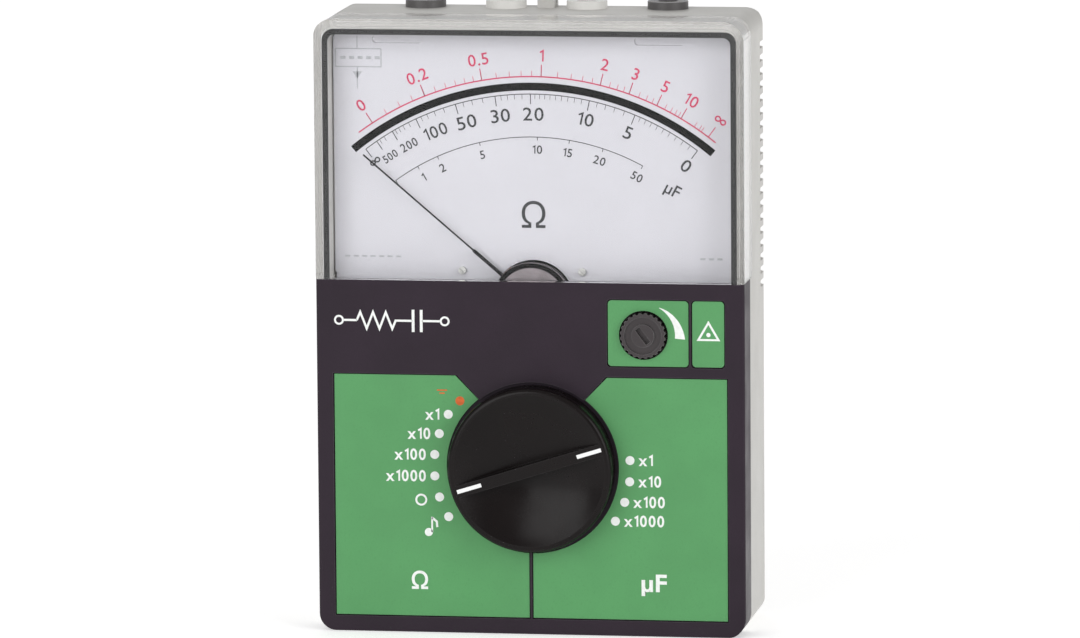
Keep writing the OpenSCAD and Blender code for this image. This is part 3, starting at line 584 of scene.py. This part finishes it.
def print_dial_symbols():
    """A boxed symbol on a line at the upper left, and short dashes where small print would be."""
    sheet = Print(DIAL_FACE)
    left, right, low, high = -46.0, -35.3, 131.2, 135.4
    axis = -40.9
    box = [(left, low), (right, low), (right, high), (left, high)]
    for a, b in zip(box, box[1:] + box[:1]):
        sheet.line([a, b], 0.28)
    sheet.line([(axis, high), (axis, high + 3.0)], 0.22)
    sheet.line([(axis, low), (axis, low - 5.1)], 0.22)
    sheet.shape([(axis - 1.1, low - 1.1), (axis, low - 2.8), (axis + 1.1, low - 1.1)])
    sheet.piece("dial_symbols", INK_PALE, "pointer_black")

    dash = 1.2
    pitch = 2.0
    dashes = Print(DIAL_FACE)
    rows = ((left + 1.2, 5, (low + high) / 2, 0.7), (-44.2, 7, 87.1, 0.4), (38.9, 3, 87.4, 0.5))
    for start, count, height, thick in rows:
        for i in range(count):
            x = start + pitch * i
            dashes.line([(x, height), (x + dash, height)], thick)
    dashes.piece("dial_dashes", INK_PALE, "pointer_black")


def print_hub_rim():
    """The black edge of the grey hub cover."""
    rim = Print(front("front_bridge"))
    rim.arc(PIVOT, 8.0, 9.15, 30, 150)
    rim.piece("hub_rim", INK_BLACK, "pointer_black")


def print_panels():
    """Dots, factors and unit signs round the selector."""
    dot_r = 1.05
    ohm_r = 23.1
    farad_r = 22.8
    step = 12.5
    first_ohm = 148.5
    first_farad = 5.0
    factors = ("x1", "x10", "x100", "x1000")
    white = Print(PANEL_FACE)
    for i, words in enumerate(factors):
        left = polar(SELECTOR, ohm_r, first_ohm + step * i)
        right = polar(SELECTOR, farad_r, first_farad - step * i)
        white.dot(left, dot_r)
        white.dot(right, dot_r)
        white.text(words, (left[0] - 2.1, left[1]), 2.55, 0, 1, 0.92, 0.08)
        white.text(words, (right[0] + 2.0, right[1] + 0.1), 2.55, 0, 0, 0.92, 0.08)
    off = polar(SELECTOR, ohm_r, first_ohm + step * 4)
    white.dot(off, dot_r)
    white.ring((off[0] - 4.3, off[1] - 0.7), 0.95, 1.4)
    tone = polar(SELECTOR, ohm_r, first_ohm + step * 5)
    white.dot(tone, dot_r)
    note(white, (-24.0, 23.6))
    white.text("Ω", (-26.2, 12.2), 3.9, weight=0.08)
    white.text("µF", (28.7, 12.6), 3.9, 0, 0.5, 1.1, 0.13)
    white.piece("panel_print", INK_WHITE, "mark_white")

    sign_x = -20.6
    orange = Print(PANEL_FACE)
    orange.dot(polar(SELECTOR, farad_r, 138), dot_r)
    for height, half in ((56.9, 1.2), (56.2, 0.6)):
        orange.line([(sign_x - half, height), (sign_x + half, height)], 0.3)
    orange.piece("battery_test_print", INK_ORANGE, "mark_white")


def note(sheet, place):
    """A quaver, the sign of the tone test, with the middle of its head at a place."""
    x, z = place
    sheet.dot(place, 0.95)
    stem_x = x + 0.8
    sheet.line([(stem_x, z), (stem_x, z + 3.6)], 0.4)
    sheet.line([(stem_x, z + 3.4), (stem_x + 1.1, z + 2.5), (stem_x + 1.2, z + 1.2)], 0.5)


def print_frame():
    """A resistor and a capacitor in a row, as plain circuit signs on the dark frame."""
    level = 73.0
    wire = 0.5
    plate = 0.65
    tooth = 1.9
    signs = Print(FRAME_FACE)
    for end_x in (-44.6, -19.8):
        signs.ring((end_x, level), 0.7, 1.15)
    zigzag = [(-39.6 + 1.5 * i, level + (-tooth if i % 2 else tooth)) for i in range(6)]
    signs.line([(-43.5, level), (-40.4, level)], wire)
    signs.line([(-40.4, level)] + zigzag + [(-31.3, level), (-27.4, level)], wire)
    for plate_x in (-27.2, -25.3):
        signs.line([(plate_x, level - 2.6), (plate_x, level + 2.6)], plate)
    signs.line([(-25.1, level), (-20.9, level)], wire)
    signs.piece("frame_print", INK_WHITE, "mark_white")


def print_adjuster():
    """The adjuster's crescent, which grows thicker clockwise, and the plain triangle beside it."""
    start, end = 60, -5
    turn = Print(PANEL_FACE)
    turn.arc(ADJUSTER, 7.35, lambda angle: 7.45 + 2.25 * (start - angle) / (start - end), start, end, 2.0)

    top, low, side = 74.0, 69.3, 2.75
    centre_x, centre_z = 41.6, 70.8
    outside = [(centre_x, top), (centre_x + side, low), (centre_x - side, low)]
    inside = [(centre_x + (x - centre_x) * 0.7, centre_z + (z - centre_z) * 0.7) for x, z in outside]
    turn.strip(outside, inside, closed=True)
    turn.dot((centre_x, 70.7), 0.5)
    turn.piece("adjuster_print", INK_WHITE, "mark_white")


print_ohm_scale()
print_farad_scale()
print_leak_scale()
print_dial_symbols()
print_hub_rim()
print_panels()
print_frame()
print_adjuster()


# ---------- studio and camera ----------

def add_floor():
    """Wide pale floor with a faint, slow change of tone."""
    half = 9.0
    glow = 0.42
    mesh = bpy.data.meshes.new("studio_floor")
    corners = [(-half, -half, 0), (half, -half, 0), (half, half, 0), (-half, half, 0)]
    mesh.from_pydata(corners, [], [(0, 1, 2, 3)])
    material, tree, output = new_material("studio_floor")
    shader = tree.nodes.new("ShaderNodeBsdfPrincipled")
    tone = ranged(tree, noise(tree, 900, 1.0), 0.3, 0.7, 0, 1)
    tree.links.new(mixed(tree, tone, (0.93, 0.93, 0.93), (0.96, 0.96, 0.96)), shader.inputs["Base Color"])
    shader.inputs["Roughness"].default_value = 0.9
    shader.inputs["Emission Color"].default_value = (1, 1, 1, 1)
    shader.inputs["Emission Strength"].default_value = glow
    tree.links.new(shader.outputs[0], output.inputs["Surface"])
    mesh.materials.append(material)
    floor = bpy.data.objects.new("studio_floor", mesh)
    bpy.context.scene.collection.objects.link(floor)


def add_light(name, place, size, power, aim):
    """Soft box of a width and height in metres and a power in watts, turned to a point."""
    light = bpy.data.lights.new(name, "AREA")
    light.shape = "RECTANGLE"
    light.size, light.size_y = size
    light.energy = power
    holder = bpy.data.objects.new(name, light)
    holder.location = place
    holder.rotation_euler = (aim - Vector(place)).to_track_quat("-Z", "Y").to_euler()
    bpy.context.scene.collection.objects.link(holder)


def add_world():
    """Even white light, seen by the camera in the tone of the far floor so that no horizon shows."""
    lighting = 0.45
    far_floor_tone = 0.86
    world = bpy.data.worlds.new("studio")
    world.use_nodes = True
    tree = world.node_tree
    background = tree.nodes["Background"]
    background.inputs["Color"].default_value = (1, 1, 1, 1)
    path = tree.nodes.new("ShaderNodeLightPath")
    strength = ranged(tree, path.outputs["Is Camera Ray"], 0, 1, lighting, far_floor_tone)
    tree.links.new(strength, background.inputs["Strength"])
    bpy.context.scene.world = world


def add_studio():
    """Soft boxes round the object."""
    aim = Vector((0, 0, 0.075))
    add_light("key", (-0.9, -1.7, 0.75), (1.5, 1.3), 14, aim)
    add_light("fill", (1.6, -1.1, 0.7), (1.2, 1.2), 12, aim)
    add_light("top", (0.0, -0.1, 1.9), (1.6, 1.6), 1, aim)
    add_light("back", (-0.4, 1.9, 1.2), (1.4, 1.2), 5, aim)


def add_camera():
    """Long lens a little to the right of the front and a little above it."""
    azimuth, elevation, roll = radians(9.0), radians(8.0), radians(-0.41)
    distance = 2.0
    target = Vector((0, 0, 0.07165))
    away = Vector((sin(azimuth) * cos(elevation), -cos(azimuth) * cos(elevation), sin(elevation)))
    camera = bpy.data.cameras.new("camera")
    camera.lens = 287
    camera.sensor_width = 36
    camera.clip_start = 0.05
    holder = bpy.data.objects.new("camera", camera)
    holder.location = target + away * distance
    holder.rotation_mode = "QUATERNION"
    holder.rotation_quaternion = (-away).to_track_quat("-Z", "Y") @ Quaternion((0, 0, 1), roll)
    bpy.context.scene.collection.objects.link(holder)
    bpy.context.scene.camera = holder


add_floor()
add_world()
add_studio()
add_camera()
bpy.context.scene.view_settings.view_transform = "Standard"
